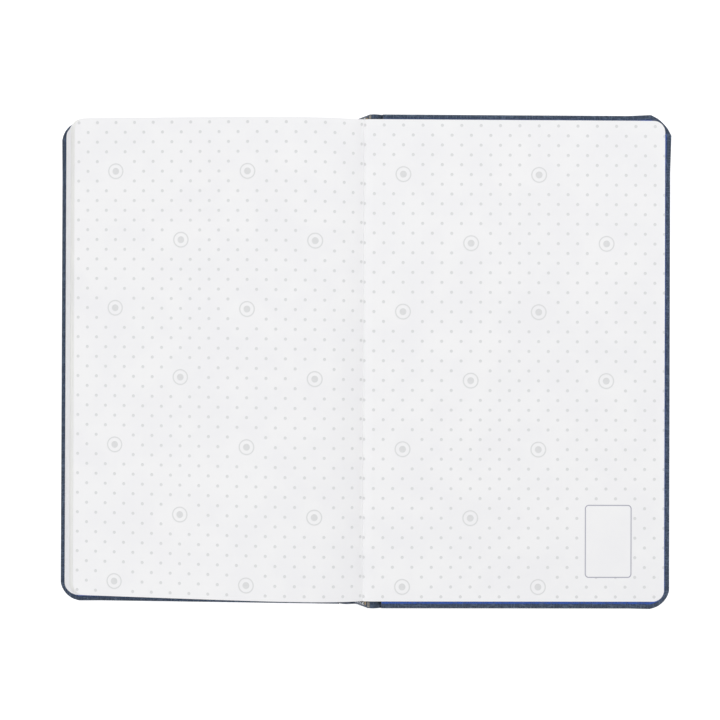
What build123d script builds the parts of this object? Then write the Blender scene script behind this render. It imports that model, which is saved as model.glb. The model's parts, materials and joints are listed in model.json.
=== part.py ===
from build123d import *
import os
from math import asin, atan2, cos, degrees, exp, hypot, radians, sin, tan

# Pilot logbook: a case-bound, section-sewn book lying open at its back endpapers.
# Millimetres. X runs across the spread towards the back cover, Y towards the head, Z up.
# The origin is the middle of the footprint, on the table. Working coordinates put x = 0 at
# the front hinge; seat() moves every finished solid to the origin.

# Leaves
page_w = 130.0  # spine fold to fore-edge
page_h = 210.0
page_corner_r = 5.0
leaf_t = 0.125
sections = 12
leaves_per_section = 10
loose_leaves = 6  # top leaves of the last section, lifted into an arch
endpaper_t = 0.15

# Case
board_t = 2.0
cloth_t = 0.35
spine_board_t = 1.5
cover_corner_r = 8.5
head_overhang = 2.65  # cover beyond the leaves, at head and at tail
fore_overhang = 2.0  # cover beyond the leaves of the closed book, at the fore-edge
border = 2.4  # cloth left showing between the pastedown and the cover's fore-edge
turn_in = 15.0  # cloth folded over the inside of a board
joint_w = 7.0  # cloth hinge between a board and the spine

# Spine
mull_t = 0.2
liner_t = 0.3
thread_d = 0.45
stitch_margin = 14.0  # from the head or tail of a section to the end of its thread
band_r = 0.55
spine_room = 0.8  # from the folds to the mull
nip = 0.87  # thickness of a section at its fold, as a share of its thickness in the page
nip_reach = 8.0  # how far from the fold a section is pressed thin
lean = 23.5  # degrees the spine leans over when the book lies open

# Arch of the loose leaves
arch_rise = 14.5
arch_turn = 15.5
arch_fall = 0.088

# Clearances
glue = 0.02  # between layers that are glued or stacked
leaf_gap = 0.08  # extra height from one loose leaf to the next
close_room = 0.3  # over the flyleaf when the back cover is shut
hinge_drop = 0.4  # back hinge below the inner face of the back cover
strip_room = 0.06  # from a cloth or paper hinge to the parts beside it
foot_drop = 1.4  # spine board below the middle of the first section

# Derived sizes
section_t = leaf_t * leaves_per_section
fold_t = section_t * nip
slab_t = section_t - leaf_t * loose_leaves
cover_t = cloth_t + board_t + cloth_t + endpaper_t
reach = page_w + spine_room + fore_overhang
cover_h = page_h + 2 * head_overhang
block_z = cover_t + glue + endpaper_t + glue
pivot_z = block_z + fold_t / 2
block_top = block_z + sections * section_t + (sections - 1) * glue
shut_z = block_top + glue + endpaper_t + close_room
spine_len = shut_z + hinge_drop - pivot_z
hinge_x = spine_len * sin(radians(lean))
hinge_z = pivot_z + spine_len * cos(radians(lean))
tilt = degrees(
    asin(hinge_z / hypot(reach, cover_t - hinge_drop)) - atan2(cover_t - hinge_drop, reach)
)
shut_angle = 180 + tilt
fore_x = hinge_x + reach * cos(radians(tilt)) + hinge_drop * sin(radians(tilt))
centre_x = (fore_x - reach) / 2

# Depths of the spine's layers, outward from the faces of the folds
liner_u = mull_t + glue
tuck_u = liner_u + liner_t + glue
board_u = tuck_u + cloth_t + glue
skin_u = board_u + spine_board_t + glue
spine_out = skin_u + cloth_t
spine_low = -foot_drop
spine_high = spine_len - close_room


def seat(shape):
    """Move a solid from working coordinates to the object's own."""
    return Pos(-centre_x, 0, 0) * shape


def prism(points, y0, y1):
    """Solid between two Y values with a straight-sided outline in XZ."""
    face = make_face(Polyline(*[(x, y0, z) for x, z in points], close=True))
    return extrude(face, amount=y1 - y0, dir=(0, 1, 0))


def normals(points):
    """Unit normals of a run of XZ points, to the left of its direction."""
    out = []
    for i in range(len(points)):
        a, b = points[max(i - 1, 0)], points[min(i + 1, len(points) - 1)]
        size = hypot(b[0] - a[0], b[1] - a[1])
        out.append(((a[1] - b[1]) / size, (b[0] - a[0]) / size))
    return out


def strip(points, thickness, y0, y1, curve=Spline):
    """Sheet on a run of XZ points, thickened to the left of its direction."""
    far = [
        (p[0] + thickness * n[0], p[1] + thickness * n[1])
        for p, n in zip(points, normals(points))
    ]
    near = [(x, y0, z) for x, z in points]
    far = [(x, y0, z) for x, z in far]
    edges = [curve(*near), Line(near[-1], far[-1]), curve(*far[::-1]), Line(far[0], near[0])]
    return extrude(make_face(edges), amount=y1 - y0, dir=(0, 1, 0))


def outline(x_in, x_out, height, r, z0, z1):
    """Upright plate from x_in to x_out, its two corners at x_out rounded."""
    flat = Pos((x_in + x_out) / 2, 0, z0) * Rectangle(abs(x_out - x_in), height)
    corners = flat.vertices().sort_by(Axis.X)
    flat = fillet(corners[-2:] if x_out > x_in else corners[:2], r)
    return extrude(flat, amount=z1 - z0)


def spine_point(u, v):
    """XZ of a point u outward from the folds and v along the leaning spine from its pivot."""
    a = radians(lean)
    return (v * sin(a) + u * cos(a), pivot_z + v * cos(a) - u * sin(a))


def spine_block(u0, u1, v0, v1, y0, y1):
    corners = ((u0, v0), (u1, v0), (u1, v1), (u0, v1))
    return prism([spine_point(u, v) for u, v in corners], y0, y1)


def back_point(d, n):
    """XZ of a point d along the back cover from its hinge and n above the hinge."""
    b = radians(tilt)
    return (hinge_x + d * cos(b) + n * sin(b), hinge_z - d * sin(b) + n * cos(b))


# Covers, drawn flat with the inner face at z = 0 and the hinge at x = 0


def cover_board():
    size = cover_h - 2 * (cloth_t + glue)
    out = reach - cloth_t - glue
    low = cloth_t + glue - cover_t
    return outline(joint_w, out, size, cover_corner_r - cloth_t, low, low + board_t - 2 * glue)


def cover_cloth():
    """Cloth under the board, round three of its edges and folded over its inside."""
    low, top = -cover_t, -endpaper_t - glue
    skin = outline(joint_w, reach, cover_h, cover_corner_r, low, top)
    inner = cover_h - 2 * cloth_t
    pocket_r = cover_corner_r - cloth_t
    low_in = low + cloth_t
    pocket = outline(joint_w - 1, reach - cloth_t, inner, pocket_r, low_in, low_in + board_t - glue)
    window = Pos((joint_w - 1 + reach - turn_in) / 2, 0, 0) * Box(
        reach - turn_in - joint_w + 1, cover_h - 2 * turn_in, 2 * cover_t
    )
    window &= Pos(0, 0, low_in) * Box(
        4 * reach, cover_h, cover_t, align=(Align.CENTER, Align.CENTER, Align.MIN)
    )
    return skin - pocket - window


def cover_infill():
    """Card that levels the inside of the board between the turn-ins."""
    low = cloth_t + board_t - cover_t
    wide = reach - turn_in - joint_w - glue
    return Pos(joint_w + wide / 2, 0, low) * Box(
        wide,
        cover_h - 2 * turn_in - 2 * glue,
        cloth_t - glue,
        align=(Align.CENTER, Align.CENTER, Align.MIN),
    )


def cover_pastedown():
    return outline(joint_w, reach - border, page_h, page_corner_r, -endpaper_t, 0)


cover_makers = {
    "board": cover_board,
    "cloth": cover_cloth,
    "infill": cover_infill,
    "pastedown": cover_pastedown,
}


def front_place(shape):
    return Pos(0, 0, cover_t) * mirror(shape, about=Plane.YZ)


def back_place(shape):
    return Pos(hinge_x, 0, hinge_z) * Rot(0, tilt, 0) * Pos(0, 0, hinge_drop) * shape


# Hinges of cloth and of paper between a cover and the spine


def front_joint_cloth():
    """Cloth pressed into the groove beside the front board, then out to the spine."""
    foot = spine_point(skin_u + cloth_t / 2, spine_low - strip_room - cloth_t)
    groove = cover_t - endpaper_t - cloth_t - 3 * strip_room
    path = [
        (-joint_w + cloth_t, 0),
        (-0.86 * joint_w, 0.3 * groove),
        (-0.7 * joint_w, 0.82 * groove),
        (-0.5 * joint_w, groove),
        (-0.25 * joint_w, 0.76 * groove),
        (0.4 * foot[0], foot[1]),
        (foot[0], foot[1] - 0.1 * cloth_t),
    ]
    return strip(path, cloth_t, -cover_h / 2, cover_h / 2)


def front_joint_paper():
    """The front pastedown's strip over the groove, up to its fold with the flyleaf."""
    wide = joint_w - 2 * strip_room - mull_t
    return Pos(-joint_w + strip_room + wide / 2, 0, cover_t - endpaper_t) * Box(
        wide, page_h, endpaper_t, align=(Align.CENTER, Align.CENTER, Align.MIN)
    )


def back_joint_cloth():
    """Cloth from the top of the spine to the edge of the back board."""
    top = hinge_drop - endpaper_t - 2 * strip_room - cloth_t
    low = hinge_drop - cover_t
    start = spine_point(spine_out - cloth_t, spine_high + strip_room + cloth_t)
    path = [
        start,
        back_point(0.5 * joint_w, 0.5 * top + 0.2 * low),
        back_point(0.64 * joint_w, 0.45 * low),
        back_point(0.8 * joint_w, 0.82 * low),
        back_point(joint_w - cloth_t, low),
    ]
    return strip(path, cloth_t, -cover_h / 2, cover_h / 2)


def back_joint_paper():
    """The rear pastedown's strip from the gutter, over the spine's edge, to the board."""
    gutter = (fold_x(sections) + 6 * strip_room, fold_top() + 3 * leaf_gap)
    crest = spine_point(mull_t, spine_high + 3 * strip_room)
    path = [
        gutter,
        (0.55 * gutter[0] + 0.45 * crest[0], 0.45 * gutter[1] + 0.55 * crest[1]),
        (crest[0], crest[1]),
        back_point(0.45 * joint_w, hinge_drop - endpaper_t - strip_room),
        back_point(0.75 * joint_w, hinge_drop - endpaper_t),
        back_point(joint_w - strip_room, hinge_drop - endpaper_t),
    ]
    return strip(path, endpaper_t, -page_h / 2, page_h / 2, Polyline)


# Text block


def page_z(k):
    """Underside of section k, counted from 1, out in the page."""
    return block_z + (k - 1) * (section_t + glue)


def fold_z(k):
    """Underside of section k at its fold."""
    return block_z + (k - 1) * (fold_t + glue)


def slide(k):
    """How far section k has moved towards the back cover, from the closed book."""
    return tan(radians(lean)) * (fold_z(k) + fold_t / 2 - pivot_z)


def fold_x(k):
    return slide(k) - spine_room


def ease(t):
    """0 at the fold, 1 beyond the pressed zone, smooth at both ends."""
    t = min(max(t / nip_reach, 0), 1)
    return t * t * (3 - 2 * t)


def layer_z(k, share, t):
    """Height of a layer of section k, share of the way up it, t from the fold."""
    low = fold_z(k) + share * fold_t
    return low + ease(t) * (page_z(k) + share * section_t - low)


def section(k):
    """Slab of folded sheets, pressed thin at the fold and cut back half-way to the lean."""
    share = slab_t / section_t if k == sections else 1.0
    steps = [nip_reach * i / 6 for i in range(7)]
    x0, far = fold_x(k), fold_x(k) - page_w
    slant = tan(radians(lean)) / 2
    low = [(x0 - t, layer_z(k, 0, t)) for t in steps]
    high = [(x0 - t, layer_z(k, share, t)) for t in steps]
    low[0] = (x0 - slant * fold_t / 2, low[0][1])
    high[0] = (x0 + slant * (share - 0.5) * fold_t, high[0][1])
    y = -page_h / 2
    low, high = [[(x, y, z) for x, z in run] for run in (low, high)]
    ends = [(far, y, low[-1][2]), (far, y, high[-1][2])]
    edges = [
        Spline(*low),
        Line(low[-1], ends[0]),
        Line(*ends),
        Line(ends[1], high[-1]),
        Spline(*high[::-1]),
        Line(high[0], low[0]),
    ]
    slab = extrude(make_face(edges), amount=page_h, dir=(0, 1, 0))
    return slab & outline(x0 + 1, far, page_h, page_corner_r, 0, 2 * block_top)


def thread(k):
    """Sewing thread along the outside of a section's fold."""
    share = slab_t / section_t if k == sections else 1.0
    x = fold_x(k) + thread_d / 2 + 3 * glue
    z = fold_z(k) + min(0.5, share / 2) * fold_t
    long = page_h - 2 * stitch_margin
    return Pos(x, 0, z) * Rot(90, 0, 0) * Cylinder(thread_d / 2, long)


def fold_top():
    return fold_z(sections) + fold_t


def arch_z(t):
    """Height of the topmost loose leaf above its fold, t from the fold."""
    return arch_rise * (1 - exp(-t / arch_turn)) - arch_fall * t


def leaf_line(n):
    """Underside of loose leaf n, counted from 1, laid out to one page width of paper."""
    share = (slab_t + (n - 1) * leaf_t) / section_t
    lift = n / (loose_leaves + 1)
    x0 = fold_x(sections)
    flat_top = layer_z(sections, 1, 0)
    run, used, t, step = [], 0.0, 0.0, 0.25
    last = None
    while True:
        flat = layer_z(sections, share, t) + n * leaf_gap
        rise = flat_top + arch_z(t) - layer_z(sections, 1, t)
        here = (x0 - t, flat + lift * max(rise, 0))
        if last:
            used += hypot(here[0] - last[0], here[1] - last[1])
        if used >= page_w + endpaper_t:
            break
        run.append(here)
        last = here
        t += step
    picked = [i for i in range(0, 80, 8)] + [i for i in range(80, len(run) - 20, 36)]
    return [run[i] for i in picked] + [run[-1]]


def lifted_sheet(points, thickness):
    """Sheet on a run of XZ points that starts at the fold, with rounded outer corners."""
    sheet = strip(points[::-1], thickness, -page_h / 2, page_h / 2)
    far = min(p[0] for p in points)
    trim = outline(points[0][0] + 2, far + thickness, page_h, page_corner_r, 0, 3 * block_top)
    return sheet & trim


def front_flyleaf():
    low = cover_t + glue
    return outline(fold_x(1), fold_x(1) - page_w, page_h, page_corner_r, low, low + endpaper_t)


# Spine


def spine_cloth():
    """Cloth over the spine board, folded over it at head and tail."""
    half = cover_h / 2
    skin = spine_block(tuck_u, spine_out, spine_low, spine_high, -half, half)
    hollow = half - turn_in
    inner = spine_block(tuck_u - 1, skin_u, spine_low - 1, spine_high + 1, -hollow, hollow)
    pocket = spine_block(
        board_u - glue, skin_u, spine_low - 1, spine_high + 1, cloth_t - half, half - cloth_t
    )
    return skin - inner - pocket


def spine_board():
    half = cover_h / 2 - cloth_t - glue
    return spine_block(board_u, board_u + spine_board_t, spine_low, spine_high, -half, half)


def spine_liner():
    half = page_h / 2 + 2 * band_r + glue
    return spine_block(liner_u, liner_u + liner_t, -mull_t, spine_high - mull_t, -half, half)


def mull():
    half = page_h / 2 - glue
    return spine_block(0, mull_t, -mull_t, spine_high - mull_t, -half, half)


def end_band(side):
    """Sewn band across the folds at the head or the tail."""
    v0, v1 = mull_t, spine_high - 4 * mull_t
    x, z = spine_point(mull_t - band_r, (v0 + v1) / 2)
    y = side * (page_h / 2 + 3 * glue + band_r)
    return Pos(x, y, z) * Rot(0, lean, 0) * Cylinder(band_r, v1 - v0)


def all_parts():
    parts = {}
    for name, maker in cover_makers.items():
        shape = maker()
        parts["front_" + name] = front_place(shape)
        parts["back_" + name] = back_place(shape)
    parts["front_joint_cloth"] = front_joint_cloth()
    parts["front_joint_paper"] = front_joint_paper()
    parts["back_joint_cloth"] = back_joint_cloth()
    parts["back_joint_paper"] = back_joint_paper()
    parts["front_flyleaf"] = front_flyleaf()
    for k in range(1, sections + 1):
        parts[f"section_{k:02d}"] = section(k)
        parts[f"thread_{k:02d}"] = thread(k)
    for n in range(1, loose_leaves + 1):
        parts[f"loose_leaf_{n:02d}"] = lifted_sheet(leaf_line(n), leaf_t)
    parts["rear_flyleaf"] = lifted_sheet(leaf_line(loose_leaves + 1), endpaper_t)
    parts["spine_cloth"] = spine_cloth()
    parts["spine_board"] = spine_board()
    parts["spine_liner"] = spine_liner()
    parts["mull"] = mull()
    parts["head_band"] = end_band(1)
    parts["tail_band"] = end_band(-1)
    return {name: seat(shape) for name, shape in parts.items()}


def main():
    os.makedirs("parts", exist_ok=True)
    for name, shape in all_parts().items():
        export_step(shape, f"parts/{name}.step")


if __name__ == "__main__":
    main()
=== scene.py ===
import json
import random
from math import atan2, cos, hypot, pi, radians, sin, sqrt, tan

import bmesh
import bpy
import numpy as np
from mathutils import Euler, Matrix, Vector


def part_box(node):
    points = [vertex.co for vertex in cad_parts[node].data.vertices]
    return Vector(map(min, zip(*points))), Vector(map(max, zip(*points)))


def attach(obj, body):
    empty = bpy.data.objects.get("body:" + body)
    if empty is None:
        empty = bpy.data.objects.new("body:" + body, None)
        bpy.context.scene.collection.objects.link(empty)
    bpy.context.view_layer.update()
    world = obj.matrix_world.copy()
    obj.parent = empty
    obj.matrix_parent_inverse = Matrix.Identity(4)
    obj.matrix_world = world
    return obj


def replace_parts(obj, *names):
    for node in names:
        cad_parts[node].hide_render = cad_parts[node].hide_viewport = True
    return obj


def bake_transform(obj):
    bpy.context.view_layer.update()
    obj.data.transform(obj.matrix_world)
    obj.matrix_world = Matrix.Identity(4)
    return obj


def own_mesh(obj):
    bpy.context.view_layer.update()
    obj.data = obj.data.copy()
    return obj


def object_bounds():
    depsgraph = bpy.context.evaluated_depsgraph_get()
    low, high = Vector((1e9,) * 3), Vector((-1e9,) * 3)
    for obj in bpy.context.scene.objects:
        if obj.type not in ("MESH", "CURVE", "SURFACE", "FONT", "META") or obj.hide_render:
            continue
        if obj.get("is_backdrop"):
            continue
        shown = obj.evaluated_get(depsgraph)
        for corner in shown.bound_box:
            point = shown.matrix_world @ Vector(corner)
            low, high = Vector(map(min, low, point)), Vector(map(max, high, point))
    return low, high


# Pilot logbook, open at its back endpapers. Metres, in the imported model's frame.

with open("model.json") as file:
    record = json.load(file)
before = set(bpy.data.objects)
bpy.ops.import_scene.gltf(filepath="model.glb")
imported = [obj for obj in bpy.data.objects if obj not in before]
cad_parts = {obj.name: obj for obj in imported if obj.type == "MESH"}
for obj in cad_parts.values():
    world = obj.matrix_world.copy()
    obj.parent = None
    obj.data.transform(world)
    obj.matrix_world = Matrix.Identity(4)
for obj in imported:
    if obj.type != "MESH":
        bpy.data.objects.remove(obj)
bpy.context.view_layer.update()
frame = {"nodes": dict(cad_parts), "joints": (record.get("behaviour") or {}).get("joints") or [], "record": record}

MM = 0.001
joints = {j["name"]: j for j in frame["joints"]}
nodes = sorted(frame["nodes"])
SECTIONS = [n for n in nodes if n.startswith("section_")]
LEAVES = [n for n in nodes if n.startswith("loose_leaf_")]

# Places read from the frame
A = Vector(joints["front_cover_hinge"]["pos_m"])
B = Vector(joints["spine_hinge"]["pos_m"])
SHUT = radians(joints["back_cover_hinge"]["range_deg"][1])
LEAN = SHUT - radians(joints["spine_hinge"]["range_deg"][1])
TILT = SHUT - pi
COVER_T = A.z
REACH = A.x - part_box("front_cloth")[0].x
COVER_H = 2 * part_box("front_cloth")[1].y
JOINT_W = A.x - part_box("front_board")[1].x
PAGE_H = 2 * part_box("front_flyleaf")[1].y
PASTE_W = A.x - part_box("front_pastedown")[0].x
PAPER_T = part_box("front_flyleaf")[1].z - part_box("front_flyleaf")[0].z

HINGE_DROP = COVER_T + (REACH * sin(TILT) - B.z) / cos(TILT)  # back hinge below the inner face
P = Vector((A.x, 0, sum(corner.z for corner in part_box("thread_01")) / 2))  # foot of the spine
SPINE_LEN = hypot(B.x - P.x, B.z - P.z)

# Sizes of the looks. What the photograph doesn't show is a guess.
CLOTH_T = 0.35 * MM
COVER_R = 8.5 * MM
PAGE_R = 5.0 * MM
COVER_EDGE_SHARP = 50  # degrees: cloth and board edges shade sharp from here
LEAF_T = 0.125 * MM
LEAVES_PER_SECTION = 10
TURN_IN = 15 * MM
SET_UP = 0.45 * MM  # how far the leaves and pastedowns are glued towards the head
SKEW = 0.011  # the top leaves' drift towards the head, as a share of the way from the fold
SPINE_OUT = 2.78 * MM  # from the mull's inner face to the outside of the spine cloth
SPINE_TOE = 1.4 * MM  # how far the flat of the spine cloth runs below the foot
SILK_PITCH = 0.37 * MM  # threads of the end bands
BAND_STRIPES = 2.2 * MM  # one blue and one white stripe

# Printed pattern: half pitches of a staggered lattice of dots, with rings seven half pitches apart
HALF_U = 4.2325 * MM
HALF_V = 4.28 * MM
DOT_R = 0.70 * MM
RING_R = 3.2 * MM
RING_LINE = 0.55 * MM
RING_STEP = 7
HUB_R = 1.5 * MM
CLEAR_R = 5.2 * MM  # no dots within this distance of a ring's middle
LABEL_R = 1.5 * MM
INK_EDGE = 0.10 * MM

# Ruled page
ROW_PITCH = 7.0 * MM
COLUMN_PITCH = 18.0 * MM
RULE_START, RULE_END = 9.0 * MM, 117.0 * MM  # from the fold
RULE_MARGIN = 10.0 * MM  # head and tail
RULE_THIN, RULE_THICK = 0.05 * MM, 0.14 * MM


# ---------------------------------------------------------------- shader helpers


class Graph:
    """A material's node tree, with short calls for the nodes this scene uses."""

    def __init__(self, name, roughness):
        self.mat = bpy.data.materials.new(name)
        self.mat.use_nodes = True
        self.tree = self.mat.node_tree
        self.bsdf = self.tree.nodes["Principled BSDF"]
        self.bsdf.inputs["Roughness"].default_value = roughness

    def add(self, kind, **settings):
        node = self.tree.nodes.new(kind)
        for key, value in settings.items():
            setattr(node, key, value)
        return node

    def feed(self, socket, value):
        if isinstance(value, bpy.types.NodeSocket):
            self.tree.links.new(value, socket)
        else:
            socket.default_value = value

    def math(self, op, *values):
        node = self.add("ShaderNodeMath", operation=op)
        for socket, value in zip(node.inputs, values):
            self.feed(socket, value)
        return node.outputs[0]

    def ramp(self, value, low, high, to_low=0.0, to_high=1.0):
        node = self.add("ShaderNodeMapRange", interpolation_type="SMOOTHSTEP")
        for socket, v in zip(node.inputs, (value, low, high, to_low, to_high)):
            self.feed(socket, v)
        return node.outputs[0]

    def mix(self, factor, a, b):
        node = self.add("ShaderNodeMix", data_type="RGBA")
        self.feed(node.inputs[0], factor)
        self.feed(node.inputs[6], a)
        self.feed(node.inputs[7], b)
        return node.outputs[2]

    def noise(self, scale, detail, vector=None):
        node = self.add("ShaderNodeTexNoise")
        node.inputs["Scale"].default_value = scale
        node.inputs["Detail"].default_value = detail
        node.inputs["Roughness"].default_value = 0.55
        self.feed(node.inputs["Vector"], vector or self.object_place())
        return node.outputs[0]

    def object_place(self):
        return self.add("ShaderNodeTexCoord").outputs["Object"]

    def uv(self):
        """The piece's own UV map, which holds metres along the surface."""
        parts = self.add("ShaderNodeSeparateXYZ")
        self.feed(parts.inputs[0], self.add("ShaderNodeUVMap", uv_map="flat").outputs[0])
        return parts.outputs[0], parts.outputs[1]

    def attribute(self, name):
        return self.add("ShaderNodeAttribute", attribute_name=name).outputs["Fac"]

    def bump(self, height, distance, strength):
        node = self.add("ShaderNodeBump")
        node.inputs["Strength"].default_value = strength
        node.inputs["Distance"].default_value = distance
        self.feed(node.inputs["Height"], height)
        return node.outputs[0]

    def done(self, colour, normal=None):
        self.feed(self.bsdf.inputs["Base Color"], colour)
        if normal:
            self.feed(self.bsdf.inputs["Normal"], normal)
        return self.mat


def srgb(r, g, b):
    """Linear colour of an 8-bit display colour."""
    out = []
    for c in (r, g, b):
        c /= 255
        out.append(c / 12.92 if c <= 0.04045 else ((c + 0.055) / 1.055) ** 2.4)
    return (*out, 1.0)


# ---------------------------------------------------------------- materials


def paper_base(g, shade):
    """Paper with faint mottling and a fibre bump. Returns (colour, normal)."""
    cloudy = g.ramp(g.noise(60, 4), 0.3, 0.7)
    fibre = g.noise(2600, 2)
    r, gr, b = shade
    colour = g.mix(cloudy, srgb(r - 3, gr - 3, b - 2), srgb(r, gr, b))
    return colour, g.bump(fibre, 0.02 * MM, 0.35)


def lattice(g, u, v, u0, v0, step_u, step_v):
    """Distance to the nearest point of a staggered lattice through (u0, v0)."""
    near = []
    for shift in (0, 1):
        du = g.math("WRAP", g.math("SUBTRACT", u, u0 + shift * step_u), step_u, -step_u)
        dv = g.math("WRAP", g.math("SUBTRACT", v, v0 - shift * step_v), step_v, -step_v)
        square = g.math("ADD", g.math("MULTIPLY", du, du), g.math("MULTIPLY", dv, dv))
        near.append(g.math("SQRT", square))
    return g.math("MINIMUM", *near)


def endpaper_material(name, u0, v0, ring_cols, ring_rows, label=None):
    """White endpaper printed with staggered grey dots and plain rings. (u0, v0) is a dot, and
    the first ring is ring_cols and ring_rows half pitches from it. A label is a bare rounded
    frame: its middle u and v, then half its width and half its height."""
    g = Graph(name, 0.8)
    colour, normal = paper_base(g, (247, 247, 248))
    u, v = g.uv()
    soft = INK_EDGE
    dot = lattice(g, u, v, u0, v0, HALF_U, HALF_V)
    ring_u, ring_v = u0 + ring_cols * HALF_U, v0 - ring_rows * HALF_V
    ring = lattice(g, u, v, ring_u, ring_v, RING_STEP * HALF_U, RING_STEP * HALF_V)
    dots = g.ramp(dot, DOT_R + soft, DOT_R - soft)
    clear = g.ramp(ring, CLEAR_R - soft, CLEAR_R + soft)
    off_ring = g.math("ABSOLUTE", g.math("SUBTRACT", ring, RING_R))
    rings = g.ramp(off_ring, RING_LINE / 2 + soft, RING_LINE / 2 - soft)
    hub = g.ramp(ring, HUB_R + soft, HUB_R - soft)
    marks = g.math("MAXIMUM", g.math("MULTIPLY", dots, clear), g.math("MAXIMUM", rings, hub))
    if label:
        middle_u, middle_v, half_u, half_v = label
        past = []
        for along, middle, half in ((u, middle_u, half_u), (v, middle_v, half_v)):
            off = g.math("ABSOLUTE", g.math("SUBTRACT", along, middle))
            past.append(g.math("MAXIMUM", g.math("SUBTRACT", off, half - LABEL_R), 0.0))
        square = g.math("ADD", *(g.math("MULTIPLY", c, c) for c in past))
        edge = g.math("SUBTRACT", g.math("SQRT", square), LABEL_R)
        outside = g.ramp(edge, -0.3 * MM, 0.0)
        frame_line = g.ramp(g.math("ABSOLUTE", edge), 0.30 * MM, 0.14 * MM)
        marks = g.math("MULTIPLY", marks, outside)
    ink = g.ramp(g.noise(900, 2), 0.2, 0.8, 0.85, 1.0)
    colour = g.mix(g.math("MULTIPLY", marks, ink), colour, srgb(221, 222, 223))
    if label:
        colour = g.mix(frame_line, colour, srgb(168, 168, 182))
    return g.done(colour, normal)


def page_material():
    """Logbook page: fine rules and columns in pale blue-grey, with no lettering."""
    g = Graph("ruled_page", 0.85)
    colour, normal = paper_base(g, (244, 244, 242))
    u, v = g.uv()
    row = g.math("ABSOLUTE", g.math("WRAP", v, ROW_PITCH / 2, -ROW_PITCH / 2))
    rows = g.ramp(row, RULE_THICK, RULE_THIN)
    column = g.math("ABSOLUTE", g.math("WRAP", u, COLUMN_PITCH / 2, -COLUMN_PITCH / 2))
    columns = g.ramp(column, RULE_THICK, RULE_THIN)
    soft = INK_EDGE
    top = PAGE_H / 2 - RULE_MARGIN
    inside = g.math(
        "MULTIPLY",
        g.ramp(g.math("ABSOLUTE", v), top + soft, top),
        g.math(
            "MULTIPLY",
            g.ramp(u, RULE_START - soft, RULE_START),
            g.ramp(u, RULE_END + soft, RULE_END),
        ),
    )
    lines = g.math("MULTIPLY", g.math("MAXIMUM", rows, columns), inside)
    return g.done(g.mix(lines, colour, srgb(176, 188, 204)), normal)


def plain_page_material():
    """Unprinted paper, with the fine streaks of a cut edge. Its tone is a shade lighter than the ruled page:
    painted light on the upright fore-edges of the sections.
    """
    g = Graph("plain_page", 0.9)
    # a shade lighter than the ruled page's paper: painted light that brightens the upright fore-edges of the
    # sections
    colour, normal = paper_base(g, (249, 249, 250))
    streak = g.ramp(g.noise(5200, 1), 0.35, 0.65)
    return g.done(g.mix(streak, colour, srgb(240, 240, 243)), normal)


def cloth_material(name, dark, mean, light):
    """Plain-woven book cloth: crossing threads with slubs, light flecks and a soft sheen."""
    g = Graph(name, 0.82)
    u, v = g.uv()
    pitch = 0.62 * MM
    wobble = g.math("MULTIPLY", g.math("SUBTRACT", g.noise(700, 2), 0.5), 0.35 * MM)
    threads = []
    for along, across in ((u, v), (v, u)):
        phase = g.math("MULTIPLY", g.math("ADD", along, wobble), 2 * pi / pitch)
        crown = g.math("ABSOLUTE", g.math("SINE", g.math("MULTIPLY", phase, 0.5)))
        over = g.math("SINE", g.math("MULTIPLY", across, pi / pitch))
        threads.append(g.math("MULTIPLY", crown, g.ramp(over, -0.6, 0.6, 0.55, 1.0)))
    weave = g.math("MAXIMUM", *threads)
    slubs = []
    slub_squeeze = 0.22  # noise squeezed along a thread makes long flecks
    for ku, kv in ((slub_squeeze, 1.0), (1.0, slub_squeeze)):
        place = g.add("ShaderNodeCombineXYZ")
        g.feed(place.inputs[0], g.math("MULTIPLY", u, ku))
        g.feed(place.inputs[1], g.math("MULTIPLY", v, kv))
        slubs.append(g.ramp(g.noise(1500, 3, place.outputs[0]), 0.50, 0.68))
    fleck = g.math("MAXIMUM", *slubs)
    colour = g.mix(g.ramp(weave, 0.35, 0.95), srgb(*dark), srgb(*mean))
    colour = g.mix(g.math("MULTIPLY", fleck, 0.75), colour, srgb(*light))
    patch = g.ramp(g.noise(90, 3), 0.3, 0.7, 0.0, 0.25)
    colour = g.mix(patch, colour, srgb(*dark))
    # a bright saturated blue line along the cloth's inner edge beside the pastedown, broken into patches by noise
    line_patches = g.ramp(g.noise(800, 2), 0.3, 0.6, 0.55, 1.0)
    blue_edge_line = g.math("MULTIPLY", g.attribute("blue_edge_line"), line_patches)
    colour = g.mix(blue_edge_line, colour, srgb(40, 84, 178))
    height = g.math("ADD", weave, g.math("MULTIPLY", fleck, 0.5))
    g.bsdf.inputs["Sheen Weight"].default_value = 0.25
    g.bsdf.inputs["Sheen Roughness"].default_value = 0.5
    return g.done(colour, g.bump(height, 0.12 * MM, 0.8))


def board_material(name, shade):
    """Pulp board or coarse paper, flecked and faintly layered."""
    g = Graph(name, 0.95)
    r, gr, b = shade
    flecks = g.ramp(g.noise(1800, 4), 0.4, 0.65)
    layers = g.ramp(g.noise(400, 2), 0.3, 0.7)
    colour = g.mix(flecks, srgb(r - 28, gr - 28, b - 26), srgb(r, gr, b))
    colour = g.mix(g.math("MULTIPLY", layers, 0.3), colour, srgb(r + 12, gr + 10, b + 6))
    return g.done(colour, g.bump(g.noise(3000, 3), 0.05 * MM, 0.5))


def mull_material():
    """Open-weave starched cloth: a grid of threads over its gaps."""
    g = Graph("mull_weave", 0.9)
    parts = g.add("ShaderNodeSeparateXYZ")
    g.feed(parts.inputs[0], g.object_place())
    pitch = 1.1 * MM
    waves = [
        g.math("ABSOLUTE", g.math("SINE", g.math("MULTIPLY", parts.outputs[i], pi / pitch)))
        for i in (1, 2)
    ]
    net = g.ramp(g.math("MAXIMUM", *waves), 0.75, 0.95)
    colour = g.mix(net, srgb(150, 138, 116), srgb(232, 226, 208))
    return g.done(colour, g.bump(net, 0.1 * MM, 0.8))


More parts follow.
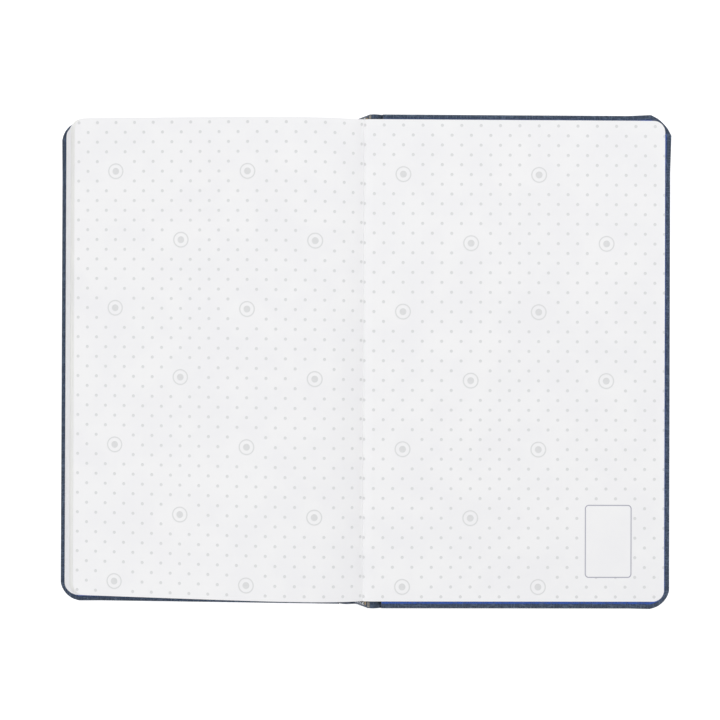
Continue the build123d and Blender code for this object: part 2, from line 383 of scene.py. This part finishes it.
def thread_material():
    """Linen thread: two plies twisted together."""
    g = Graph("sewing_thread", 0.7)
    u, v = g.uv()
    pitch = 0.5 * MM
    twist = g.math("SINE", g.math("MULTIPLY", g.math("ADD", u, v), 2 * pi / pitch))
    colour = g.mix(g.ramp(twist, -0.8, 0.6), srgb(196, 190, 178), srgb(240, 236, 226))
    return g.done(colour, g.bump(twist, 0.05 * MM, 0.8))


def band_material():
    """Silk-bound end band: blue and white threads wound in turn."""
    g = Graph("end_band", 0.6)
    u, v = g.uv()
    wind = g.math("SINE", g.math("MULTIPLY", v, 2 * pi / BAND_STRIPES))
    fine = g.math("SINE", g.math("MULTIPLY", v, 2 * pi / SILK_PITCH))
    colour = g.mix(g.ramp(wind, -0.08, 0.08), srgb(62, 78, 104), srgb(226, 228, 230))
    colour = g.mix(g.ramp(fine, -1.0, 0.2, 0.35, 0.0), colour, srgb(40, 48, 62))
    return g.done(colour, g.bump(fine, 0.08 * MM, 0.8))


def floor_material():
    """White backdrop that glows a little, so that it stays white round the book."""
    g = Graph("studio_floor", 0.9)
    soft = g.ramp(g.noise(3, 2), 0.3, 0.7)
    g.bsdf.inputs["Emission Color"].default_value = (1, 1, 1, 1)
    g.bsdf.inputs["Emission Strength"].default_value = 0.55
    return g.done(g.mix(soft, (0.94, 0.94, 0.94, 1), (0.96, 0.96, 0.96, 1)))


# ---------------------------------------------------------------- mesh helpers


def box_uv(points, faces):
    """Flat UVs for every face corner, from the face's main direction."""
    out = []
    for f in faces:
        ring_points = np.array([points[i] for i in f], float)
        n = np.abs(np.cross(ring_points, np.roll(ring_points, -1, axis=0)).sum(axis=0))
        keep = [(1, 2), (0, 2), (0, 1)][int(np.argmax(n))]
        out += [(points[i][keep[0]], points[i][keep[1]]) for i in f]
    return out


def make(name, points, faces, mat, place=None, point_uv=None):
    """Mesh object from points, moved by place, with its UVs in the map named flat."""
    if point_uv is None:
        corner_uv = box_uv(points, faces)
    else:
        corner_uv = [point_uv[i] for f in faces for i in f]
    world = [place(p) if place else p for p in points]
    mesh = bpy.data.meshes.new(name)
    mesh.from_pydata([tuple(p) for p in world], [], faces)
    layer = mesh.uv_layers.new(name="flat")
    layer.data.foreach_set("uv", np.array(corner_uv, np.float32).ravel())
    mesh.materials.append(mat)
    mesh.polygons.foreach_set("use_smooth", [True] * len(faces))
    mesh.update()
    obj = bpy.data.objects.new(name, mesh)
    bpy.context.scene.collection.objects.link(obj)
    return obj


def fix_normals(obj):
    """Turn every face outward."""
    bm = bmesh.new()
    bm.from_mesh(obj.data)
    bmesh.ops.recalc_face_normals(bm, faces=bm.faces)
    bm.to_mesh(obj.data)
    bm.free()


def settle(obj, angle=40):
    """Outward normals, and smooth shading that breaks at edges of more than angle degrees."""
    fix_normals(obj)
    obj.data.set_sharp_from_angle(angle=radians(angle))
    return obj


def grid_faces(rows, cols):
    """Quads of a grid of rows by cols points."""
    out = []
    for i in range(rows - 1):
        for k in range(cols - 1):
            a, b = i * cols + k, (i + 1) * cols + k
            out.append((a, a + 1, b + 1, b))
    return out


def slab_faces(rows, cols):
    """Faces of a thin slab whose points are two grids of rows by cols: (one side, other side,
    rim)."""
    top = grid_faces(rows, cols)
    half = rows * cols
    low = [tuple(half + v for v in f[::-1]) for f in top]
    rim = [i * cols for i in range(rows)] + [(rows - 1) * cols + j for j in range(1, cols)]
    rim += [i * cols + cols - 1 for i in range(rows - 2, -1, -1)] + list(range(cols - 2, 0, -1))
    return top, low, [(a, b, half + b, half + a) for a, b in zip(rim, rim[1:] + rim[:1])]


def faces_of(node, up):
    """x and z along the upper or lower surface of a sheet or slab node, sorted by x."""
    mesh = frame["nodes"][node].data
    found = {}
    for p in mesh.polygons:
        if (p.normal.z if up else -p.normal.z) > 0.3 and abs(p.normal.y) < 0.1:
            for i in p.vertices:
                co = mesh.vertices[i].co
                found[round(co.x, 6)] = co.z
    xs = sorted(found)
    return np.array(xs), np.array([found[x] for x in xs])


def back_place(p):
    """From the flat back cover, d along it and n above its inner face, to its place."""
    d, y, n = p
    n += HINGE_DROP
    return (B.x + d * cos(TILT) + n * sin(TILT), y, B.z - d * sin(TILT) + n * cos(TILT))


def back_xz(d, n):
    x, _, z = back_place((d, 0, n))
    return (x, z)


def front_place(p):
    """From the front cover, d along it and n above its inner face, to its place."""
    d, y, n = p
    return (A.x - d, y, A.z + n)


def spine_place(p):
    """From u outward, y, and v along the upright spine, to the leaning spine."""
    u, y, v = p
    return (P.x + v * sin(LEAN) + u * cos(LEAN), y, P.z + v * cos(LEAN) - u * sin(LEAN))


def spine_xz(u, v):
    x, _, z = spine_place((u, 0, v))
    return (x, z)


def foot_xz(angle):
    """On the arc that the front hinge cloth follows, angle degrees round the spine's foot from
    straight below it."""
    inside = 0.15 * MM  # the arc lies this far inside the outer face of the spine cloth
    r = hypot(SPINE_OUT, SPINE_TOE) - inside
    return (P.x + r * sin(radians(angle)), P.z - r * cos(radians(angle)))


# ---------------------------------------------------------------- paper sheets


def sheet_stations(length, step):
    """Distances from the fold, closer together near it and round the outer corners."""
    near = 12 * MM
    out = list(np.arange(0, near, step / 3)) + list(np.arange(near, length - PAGE_R, step))
    return out + [length - PAGE_R * (1 - sin(a * pi / 16)) for a in range(9)]


def half_height(left, full):
    """Half a sheet's height at a distance left from its fore-edge, its corners rounded."""
    if left >= PAGE_R:
        return full
    return full - PAGE_R + sqrt(max(PAGE_R * PAGE_R - (PAGE_R - left) ** 2, 0))


def sheet(name, line, thickness, mats, wave=0.0, seed=0):
    """Paper sheet on a line of (x, z) that starts at the fold, with shallow waves of a given
    height. Its upper side takes the first material and the rest the second. UVs are metres from
    the fold and up the page."""
    line = np.array(line)
    run = np.concatenate([[0], np.cumsum(np.hypot(*np.diff(line, axis=0).T))])
    length = run[-1]
    rng = random.Random(seed)
    waves = [
        (rng.uniform(0.6, 1.6), rng.uniform(0, 2 * pi), rng.uniform(0, 2 * pi)) for _ in range(3)
    ]
    fade_in = 30 * MM  # the waves grow over this distance from the fold
    rows = 21
    stations = sheet_stations(length, 4 * MM)
    x = np.interp(stations, run, line[:, 0])
    z = np.interp(stations, run, line[:, 1])
    dx, dz = np.gradient(x, stations), np.gradient(z, stations)
    top, low, uv = [], [], []
    for i, s in enumerate(stations):
        tall = half_height(length - s, PAGE_H / 2)
        for j in range(rows):
            y = tall * (2 * j / (rows - 1) - 1)
            lift = sum(
                sin(f * s / length * pi * 2 + a) * sin(f * y / PAGE_H * pi * 2 + b)
                for f, a, b in waves
            )
            lift *= wave * min(s / fade_in, 1) / len(waves)
            low.append((x[i], y, z[i] + lift))
            top.append((x[i] + dz[i] * thickness, y, z[i] - dx[i] * thickness + lift))
            uv.append((s, y))
    upper, under, rim = slab_faces(len(stations), rows)
    obj = make(name, top + low, upper + under + rim, mats[0], point_uv=uv + uv)
    obj.data.materials.append(mats[1])
    index = [0] * len(upper) + [1] * (len(under) + len(rim))
    obj.data.polygons.foreach_set("material_index", index)
    return settle(obj)


def leaf_line(node):
    """Underside of a lifted sheet node from its fold to its fore-edge."""
    xs, zs = faces_of(node, up=False)
    return list(zip(xs[::-1], zs[::-1]))


def folded_sheets(name, node, leaves, cut, rng):
    """A section as nested folded sheets, each a ribbon from one fore-edge round the fold to the
    other. The knife took cut off the fore-edge."""
    (lx, lz), (ux, uz) = faces_of(node, up=False), faces_of(node, up=True)
    far, fold = lx[0], min(lx[-1], ux[-1])
    width = fold - far
    near_fold = [0, 0.7, 1.5, 2.5, 3.5, 4.5, 5.5, 6.5, 8, 30, 60, 90, 110]
    stations = [s * MM for s in near_fold]
    stations += [width - PAGE_R * (1 - sin(a * pi / 12)) for a in range(7)]
    half_t = 0.40 * LEAF_T
    fold_bulge = 0.42 * MM
    nest_step = 0.95 * LEAF_T
    points, faces, uv = [], [], []

    def height(leaf, x):
        share = (leaf + 0.5) / leaves
        return (1 - share) * np.interp(x, lx, lz) + share * np.interp(x, ux, uz)

    for k in range(leaves // 2):
        edge_x = far + cut + rng.uniform(-0.02, 0.09) * MM
        tall = PAGE_H / 2 + rng.uniform(-0.07, 0.0) * MM
        path = []
        start_x = fold - 0.45 * MM - k * nest_step
        for s in stations[::-1]:
            x = start_x + (edge_x - start_x) * s / width
            path.append((x, height(k, x), width - s))
        z0, z1 = height(k, start_x), height(leaves - 1 - k, start_x)
        middle, half_gap = (z0 + z1) / 2, (z1 - z0) / 2
        for a in range(1, 8):
            t = a * pi / 8
            bulge = min(fold_bulge, half_gap)
            path.append((start_x + bulge * sin(t), middle - half_gap * cos(t), width))
        for s in stations:
            x = start_x + (edge_x - start_x) * s / width
            path.append((x, height(leaves - 1 - k, x), width - s))
        xz = np.array([(p[0], p[1]) for p in path])
        d = np.gradient(xz, axis=0)
        d /= np.hypot(d[:, 0], d[:, 1])[:, None]
        base = len(points)
        for i, (x, z, left) in enumerate(path):
            edge = half_height(left, tall) if left < PAGE_R else tall
            for off in (-half_t, half_t):
                for y in (-edge, edge):
                    points.append((x - off * d[i, 1], y, z + off * d[i, 0]))
                    uv.append((i * MM, y))
        for i in range(len(path) - 1):
            a, b = base + 4 * i, base + 4 * (i + 1)
            for p, q in ((0, 1), (1, 3), (3, 2), (2, 0)):
                faces.append((a + p, a + q, b + q, b + p))
        for end in (base, base + 4 * (len(path) - 1)):
            faces.append((end, end + 1, end + 3, end + 2))
    # the sheets take the lighter plain paper, painted light for their upright fore-edges
    return settle(make(name, points, faces, plain_page, point_uv=uv))


# ---------------------------------------------------------------- case


def ring(inset, corner_steps=14, side_steps=12):
    """Outline of a cover inset from its edge, from the tail of the hinge side round the
    fore-edge to the head. Each point is (d, y, corner angle or None)."""
    r = max(COVER_R - inset, 0.0)
    c = max(COVER_R, inset)
    right, top = REACH - c, COVER_H / 2 - c
    run = right - JOINT_W
    out = [(JOINT_W + run * i / side_steps, -(top + r), None) for i in range(side_steps)]
    for i in range(corner_steps + 1):
        a = -pi / 2 + i * pi / 2 / corner_steps
        out.append((right + r * cos(a), -top + r * sin(a), i / corner_steps))
    out += [(right + r, -top + 2 * top * i / side_steps, None) for i in range(1, side_steps)]
    for i in range(corner_steps + 1):
        a = i * pi / 2 / corner_steps
        out.append((right + r * cos(a), top + r * sin(a), 1 + i / corner_steps))
    return out + [(right - run * i / side_steps, top + r, None) for i in range(1, side_steps + 1)]


def corner_pull(d, y, turn, head, tail, near_edge=1.0):
    """Move an outline point of a rounded corner: cut back along the corner and proud at its
    ends, by the shares given for the head and tail corners. Returns (d, y, fold height)."""
    if turn is None:
        return d, y, 0.0
    at_head = turn >= 1
    share = turn - 1 if at_head else turn
    amount = head if at_head else tail
    proud, cut_back, pleat = 0.50 * MM, 0.95 * MM, 0.10 * MM
    ends = max(0.0, 1 - min(share, 1 - share) / 0.14) ** 2
    flat = sin(pi * share) ** 1.5
    out = amount * (proud * ends - cut_back * flat) * near_edge
    centre_y = (COVER_H / 2 - COVER_R) * (1 if at_head else -1)
    a = atan2(y - centre_y, d - (REACH - COVER_R))
    folds = amount * pleat * sin(share * pi * 7) * sin(pi * share)
    return d + out * cos(a), y + out * sin(a), folds


def cover_cloth(name, place, head, tail):
    """Cloth wrapped round three edges of a board, pleated at its rounded corners."""
    # (inset from the edge, depth below the inner face, weight of the blue edge line) across the turn-in
    turned = (
        (TURN_IN, 0.50 * MM, 0),
        (TURN_IN, 0.20 * MM, 0),
        (6 * MM, 0.19 * MM, 0),
        (3.3 * MM, 0.18 * MM, 0),
        (2.75 * MM, 0.20 * MM, 0.9),
        (2.35 * MM, 0.19 * MM, 1.0),
        (2.0 * MM, 0.14 * MM, 0.1),
        (1.2 * MM, 0.12 * MM, 0),
    )
    profile = [(inset, -depth, blue) for inset, depth, blue in turned]
    r_top, r_low = 0.75 * MM, 0.6 * MM
    top = profile[-1][1]
    for i in range(1, 6):
        a = i * pi / 10
        profile.append((r_top * (1 - sin(a)), top - r_top * (1 - cos(a)), 0))
    for i in range(0, 6):
        a = i * pi / 10
        profile.append((r_low * (1 - cos(a)), -COVER_T + r_low * (1 - sin(a)), 0))
    profile += [(3 * MM, -COVER_T, 0), (12 * MM, -COVER_T, 0)]
    pull_width, pleat_depth = 7 * MM, 0.6 * MM
    points, blue_edge_line = [], []
    for inset, n, blue in profile:
        near_edge = max(0.0, 1 - inset / pull_width)
        lift = min(1.0, inset / MM + 0.3) if n > -pleat_depth else 0.0
        for d, y, turn in ring(inset):
            d, y, fold = corner_pull(d, y, turn, head, tail, near_edge)
            points.append((d, y, n + fold * lift))
            blue_edge_line.append(blue)
    cols = len(ring(0))
    faces = grid_faces(len(profile), cols)
    faces.append(tuple((len(profile) - 1) * cols + k for k in range(cols)))
    obj = make(name, points, faces, cloth, place)
    layer = obj.data.attributes.new("blue_edge_line", "FLOAT", "POINT")
    layer.data.foreach_set("value", np.array(blue_edge_line, np.float32))
    return settle(obj, COVER_EDGE_SHARP)


def cover_board(name, place, head, tail):
    """Greyboard inside the cloth, its edges slightly crushed."""
    low, top = -COVER_T + CLOTH_T + 0.02 * MM, -PAPER_T - CLOTH_T - 0.03 * MM
    crushed, side, bevel = 0.55 * MM, 0.42 * MM, 0.12 * MM
    profile = [(crushed, top), (side, top - bevel), (side, low + bevel), (crushed, low)]
    points = []
    for inset, n in profile:
        for d, y, turn in ring(inset):
            d, y, _ = corner_pull(d, y, turn, head, tail)
            points.append((d, y, n))
    cols = len(ring(0))
    faces = grid_faces(len(profile), cols)
    faces.append(tuple(range(cols))[::-1])
    faces.append(tuple((len(profile) - 1) * cols + k for k in range(cols)))
    for i in range(len(profile) - 1):
        faces.append((i * cols, (i + 1) * cols, (i + 2) * cols - 1, (i + 1) * cols - 1))
    obj = make(name, points, faces, greyboard, place)
    return settle(obj, COVER_EDGE_SHARP)


def pastedown(name, place, mat):
    """Endpaper leaf glued down inside a cover, its outer corners cut round."""
    stations = [JOINT_W + (PASTE_W - PAGE_R - JOINT_W) * i / 12 for i in range(13)]
    stations += [PASTE_W - PAGE_R * (1 - sin(a * pi / 20)) for a in range(1, 11)]
    cols = 9
    points, uv = [], []
    for n in (0.0, -PAPER_T):
        for d in stations:
            edge = half_height(PASTE_W - d, PAGE_H / 2)
            for k in range(cols):
                y = edge * (2 * k / (cols - 1) - 1)
                points.append((d, y, n))
                uv.append((d, y))
    faces = sum(slab_faces(len(stations), cols), [])
    return settle(make(name, points, faces, mat, place, point_uv=uv))


def smooth_path(points, steps=8):
    """Catmull-Rom curve through a few (x, z) points."""
    p = [np.array(q, float) for q in points]
    p = [2 * p[0] - p[1], *p, 2 * p[-1] - p[-2]]
    out = []
    for i in range(1, len(p) - 2):
        for k in range(steps):
            t = k / steps
            a, b, c, d = p[i - 1 : i + 3]
            square, cube = 2 * a - 5 * b + 4 * c - d, 3 * b - a - 3 * c + d
            out.append(0.5 * (2 * b + (c - a) * t + square * t * t + cube * t**3))
    return out + [p[-2]]


def ribbon(name, path, thickness, height, mat, start=0.0, along=1):
    """Strip of cloth or paper that follows a path in XZ, height tall. Its UVs start at start and
    grow along the path, or shrink where along is -1."""
    path = np.array(smooth_path(path))
    run = np.concatenate([[0], np.cumsum(np.hypot(*np.diff(path, axis=0).T))])
    d = np.gradient(path, axis=0)
    d /= np.hypot(d[:, 0], d[:, 1])[:, None]
    cols = 13
    points, uv = [], []
    for off in (thickness, 0):
        for i, (x, z) in enumerate(path):
            for j in range(cols):
                y = height * (j / (cols - 1) - 0.5)
                points.append((x - off * d[i, 1], y, z + off * d[i, 0]))
                uv.append((start + run[i] * along, y))
    faces = sum(slab_faces(len(path), cols), [])
    return settle(make(name, points, faces, mat, point_uv=uv), COVER_EDGE_SHARP)


def spine_cloth():
    """Cloth over the spine board, turned in at its head and tail and rolled round its foot."""
    low = -SPINE_TOE
    high = SPINE_LEN - 0.3 * MM
    half = COVER_H / 2
    # the foot is an arc about the pivot, so that it slides on itself as the spine leans
    r = hypot(SPINE_OUT, low)
    step = radians(9)
    turns = [atan2(low, SPINE_OUT) - step * t for t in (3, 2, 1)]
    path = [(r * cos(a), r * sin(a)) for a in turns]
    path += [(SPINE_OUT, low + (high - low) * i / 14) for i in range(15)]
    # across: turn-in, roll at tail, outer face, roll at head, turn-in
    inner = 0.56 * MM
    roll = (SPINE_OUT - inner) / 2
    section = [(TURN_IN - half, inner), (3 * MM - half, inner)]
    for i in range(9):
        a = i * pi / 8
        section.append((-half + roll * (1 - sin(a)), SPINE_OUT - roll * (1 + cos(a))))
    mirror = [(-y, u) for y, u in section[::-1]]
    section += [(-half + (2 * half) * i / 12, SPINE_OUT) for i in range(1, 12)]
    section += mirror
    points, uv = [], []
    for pu, pv in path:
        for y, u in section:
            drop = SPINE_OUT - u
            if pv < low:  # on the arc, inward is towards the pivot
                k = (r - drop) / r
                points.append((pu * k, y, pv * k))
            else:
                points.append((pu - drop, y, pv))
            uv.append((pv, y + drop))
    faces = grid_faces(len(path), len(section))
    obj = make("spine_book_cloth", points, faces, cloth, spine_place, point_uv=uv)
    thick = obj.modifiers.new("cloth", "SOLIDIFY")
    thick.thickness = 0.3 * MM
    thick.offset = -1
    return settle(obj, COVER_EDGE_SHARP)


def thread(name, node):
    """Sewing thread in long stitches on the fold, dipping in at each sewing station."""
    low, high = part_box(node)
    r = (high.z - low.z) / 2
    x0, z0 = (low.x + high.x) / 2, (low.z + high.z) / 2
    stitches = 7
    dip_depth, lay = 0.55 * MM, 0.4 * MM
    span = high.y - low.y
    path = []
    for i in range(stitches):
        for k in range(9):
            t = k / 8
            dip = dip_depth * abs(2 * t - 1) ** 10
            path.append((x0 - dip, low.y + span * (i + t) / stitches, z0))
    points, uv = [], []
    around = 8
    for i, (x, y, z) in enumerate(path):
        for k in range(around + 1):
            a = 2 * pi * k / around
            swell = r * (0.93 + 0.07 * cos(2 * a + y / lay))
            points.append((x + swell * cos(a), y, z + swell * sin(a)))
            uv.append((r * a, y))
    faces = grid_faces(len(path), around + 1)
    for i in (0, len(path) - 1):
        faces.append(tuple(i * (around + 1) + k for k in range(around)))
    obj = make(name, points, faces, thread_mat, point_uv=uv)
    fix_normals(obj)
    return obj


def end_band(name, side):
    """Wound bead across the folds, at the head where side is 1 and at the tail where it is -1."""
    r = 0.55 * MM
    v0, v1 = 0.2 * MM, SPINE_LEN - 1.1 * MM
    u0 = 0.2 * MM - r
    y0 = side * (PAGE_H / 2 + 0.06 * MM + r)
    steps, around = 90, 12
    points, uv = [], []
    for i in range(steps + 1):
        v = v0 + (v1 - v0) * i / steps
        wind = 1 + 0.05 * sin(v * 2 * pi / SILK_PITCH)
        cap = min(1.0, sqrt(max(min(i, steps - i) / 4, 0.02)))
        for k in range(around + 1):
            a = 2 * pi * k / around
            points.append((u0 + r * wind * cap * cos(a), y0 + r * wind * cap * sin(a), v))
            uv.append((r * a, v))
    faces = grid_faces(steps + 1, around + 1)
    obj = make(name, points, faces, band_mat, spine_place, point_uv=uv)
    fix_normals(obj)
    return obj


# ---------------------------------------------------------------- build

cloth = cloth_material("book_cloth_slate", (34, 48, 68), (57, 72, 95), (94, 110, 133))
gutter_dot = 1.0 * MM
rear_print = endpaper_material("endpaper_rear_flyleaf", gutter_dot, PAGE_H / 2 - 2.2 * MM, 5, 12)
first_dot = 7.5 * MM
label = (105.9 * MM, -78.7 * MM, 10.0 * MM, 15.7 * MM)  # lower outer corner
back_print = endpaper_material("endpaper_back", first_dot, PAGE_H / 2 - 2.5 * MM, 2, 5, label)
front_print = endpaper_material("endpaper_front", first_dot, PAGE_H / 2 - 2.5 * MM, 2, 5)
ruled_page = page_material()
plain_page = plain_page_material()
thread_mat = thread_material()
band_mat = band_material()
greyboard = board_material("greyboard", (150, 148, 142))
card = board_material("infill_card", (214, 210, 200))
kraft = board_material("kraft_liner", (178, 156, 124))
mull_mat = mull_material()

for node, mat in {
    "spine_board": greyboard,
    "front_infill": card,
    "back_infill": card,
    "spine_liner": kraft,
    "mull": mull_mat,
}.items():
    mesh = frame["nodes"][node].data
    mesh.materials.clear()
    mesh.materials.append(mat)


def body_of(node):
    bodies = frame["record"]["behaviour"]["bodies"]
    return next(body for body, members in bodies.items() if node in members)


def stand_for(obj, node):
    """Take the place of a CAD node and move with its body."""
    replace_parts(obj, node)
    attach(obj, body_of(node))


def raised(obj, skew=0.0):
    """Set a leaf, pastedown or section off centre, towards the head, and more so by skew
    towards its fore-edge."""
    for vertex in obj.data.vertices:
        vertex.co.y += SET_UP + skew * max(A.x - vertex.co.x, 0)
    return obj


# case
for side, place, head, tail, print_mat in (
    ("front", front_place, 0.35, 0.35, front_print),
    ("back", back_place, 1.0, 0.4, back_print),
):
    stand_for(cover_cloth(side + "_book_cloth", place, head, tail), side + "_cloth")
    stand_for(cover_board(side + "_greyboard", place, head, tail), side + "_board")
    stand_for(raised(pastedown(side + "_pastedown_paper", place, print_mat)), side + "_pastedown")
stand_for(spine_cloth(), "spine_cloth")

# text block
rng = random.Random(21)
for i, node in enumerate(SECTIONS):
    last = i == len(SECTIONS) - 1
    leaves = LEAVES_PER_SECTION - len(LEAVES) if last else LEAVES_PER_SECTION
    cut = 0.5 * MM * (1 - i / len(SECTIONS))
    pages = folded_sheets("folded_" + node, node, leaves, cut, rng)
    stand_for(raised(pages, SKEW * (i / len(SECTIONS)) ** 2), node)
    sewn = "thread_" + node[-2:]
    stand_for(thread("stitched_" + sewn, sewn), sewn)
both_ruled = (ruled_page, ruled_page)
for i, node in enumerate(LEAVES):
    obj = sheet(
        "page_" + node,
        leaf_line(node),
        0.85 * LEAF_T,
        both_ruled,
        wave=0.25 * MM,
        seed=40 + i,
    )
    stand_for(raised(obj, SKEW), node)
    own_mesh(obj)
flyleaf = sheet(
    "rear_flyleaf_paper",
    leaf_line("rear_flyleaf"),
    PAPER_T,
    (rear_print, plain_page),
    wave=0.12 * MM,
    seed=5,
)
stand_for(raised(flyleaf, SKEW), "rear_flyleaf")
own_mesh(flyleaf)
low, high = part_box("front_flyleaf")
front_line = [(high.x - (high.x - low.x) * i / 30, low.z) for i in range(31)]
obj = sheet("front_flyleaf_paper", front_line, PAPER_T, (plain_page, front_print))
stand_for(raised(obj), "front_flyleaf")

stand_for(end_band("head_band_silk", 1), "head_band")
stand_for(end_band("tail_band_silk", -1), "tail_band")

# front hinge: cloth from the board's edge across the groove and round the spine's foot, then the
# paper above it
groove = COVER_T - PAPER_T - CLOTH_T - 0.2 * MM
path = [
    (A.x - JOINT_W - 0.5 * MM, 0.0),
    (A.x - JOINT_W + 0.3 * MM, 0.05 * MM),
    (A.x - 0.84 * JOINT_W, 0.35 * groove),
    (A.x - 0.7 * JOINT_W, 0.85 * groove),
    (A.x - 0.5 * JOINT_W, groove),
    (A.x - 0.3 * JOINT_W, 0.72 * groove),
    foot_xz(-4),
    foot_xz(22),
    foot_xz(46),
]
obj = ribbon("front_hinge_cloth", path, CLOTH_T, COVER_H, cloth)
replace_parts(obj, "front_joint_cloth")
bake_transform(obj)

low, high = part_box("front_joint_paper")
path = [(low.x, low.z), ((low.x + high.x) / 2, low.z - 0.1 * MM), (high.x, low.z)]
obj = ribbon(
    "front_hinge_paper",
    path,
    PAPER_T,
    PAGE_H,
    front_print,
    start=JOINT_W,
    along=-1,
)
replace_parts(raised(obj), "front_joint_paper")
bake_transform(obj)

# back hinge: cloth from the spine's outer face across the groove, then the paper above it from
# the gutter
path = [
    spine_xz(SPINE_OUT - CLOTH_T, SPINE_LEN - 1.6 * MM),
    spine_xz(SPINE_OUT - CLOTH_T, SPINE_LEN - 0.2 * MM),
    back_xz(0.47 * JOINT_W, -0.32 * COVER_T),
    back_xz(0.66 * JOINT_W, -0.5 * COVER_T),
    back_xz(0.84 * JOINT_W, -0.86 * COVER_T),
    back_xz(JOINT_W - 0.2 * MM, -COVER_T),
    back_xz(JOINT_W + 0.5 * MM, -COVER_T),
]
obj = ribbon("back_hinge_cloth", path, CLOTH_T, COVER_H, cloth)
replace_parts(obj, "back_joint_cloth")
back_place((0.8 * JOINT_W, 0, 0))
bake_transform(obj)

gutter = leaf_line("rear_flyleaf")[0]
spine_top = spine_xz(0, SPINE_LEN)
path = [
    (gutter[0] + 0.05 * MM, gutter[1]),
    (gutter[0] + 0.35 * MM, gutter[1] - 0.12 * MM),
    (gutter[0] * 0.5 + spine_top[0] * 0.5, gutter[1] * 0.62 + spine_top[1] * 0.38),
    spine_xz(0.3 * MM, SPINE_LEN - 0.1 * MM),
    back_xz(0.38 * JOINT_W, -PAPER_T),
    back_xz(0.7 * JOINT_W, -PAPER_T),
    back_xz(JOINT_W, -PAPER_T),
]
obj = ribbon("back_hinge_paper", path, PAPER_T, PAGE_H, back_print, start=-1.9 * MM)
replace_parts(raised(obj), "back_joint_paper")
blend_end = back_place((0.8 * JOINT_W, 0, 0))
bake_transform(obj)


# ---------------------------------------------------------------- studio


def studio():
    """White floor and world, two soft lamps, and the camera of the photograph."""
    scene = bpy.context.scene
    scene.view_settings.view_transform = "Standard"
    wide = 3.0
    mesh = bpy.data.meshes.new("floor")
    corners = [(-wide, -wide, 0), (wide, -wide, 0), (wide, wide, 0), (-wide, wide, 0)]
    mesh.from_pydata(corners, [], [(0, 1, 2, 3)])
    mesh.materials.append(floor_material())
    floor = bpy.data.objects.new("studio_floor", mesh)
    floor.location.z = -0.05 * MM
    scene.collection.objects.link(floor)
    floor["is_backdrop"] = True

    world = bpy.data.worlds.new("studio")
    scene.world = world
    world.use_nodes = True
    world.node_tree.nodes["Background"].inputs[0].default_value = (1.0, 1.0, 1.0, 1)
    world.node_tree.nodes["Background"].inputs[1].default_value = 0.58

    for name, place, power, width in (
        ("key", (0.5, 0.55, 1.1), 5.8, 0.8),
        ("fill", (-0.8, -0.45, 0.8), 3.6, 1.0),
    ):
        data = bpy.data.lights.new(name, "AREA")
        data.energy = power
        data.size = width
        lamp = bpy.data.objects.new(name, data)
        lamp.location = place
        lamp.rotation_mode = "QUATERNION"
        lamp.rotation_quaternion = (-Vector(place)).to_track_quat("-Z", "Y")
        scene.collection.objects.link(lamp)

    data = bpy.data.cameras.new("photo")
    data.sensor_width = 36
    view_angle = 20.35
    data.lens = data.sensor_width / 2 / tan(radians(view_angle / 2))
    data.clip_start = 0.05
    camera = bpy.data.objects.new("photo", data)
    # almost straight above, a little to the right, with a slight roll
    far, aim = 0.874, Vector((A.x + 3.5 * MM, 0.5 * MM, 17.7 * MM))
    turn = Euler((radians(0.3), radians(5.4), 0)).to_matrix()
    roll = Matrix.Rotation(radians(0.2), 3, "Z")
    camera.location = aim + turn @ Vector((0, 0, far))
    camera.rotation_euler = (turn @ roll).to_euler()
    scene.collection.objects.link(camera)
    scene.camera = camera


studio()

low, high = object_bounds()
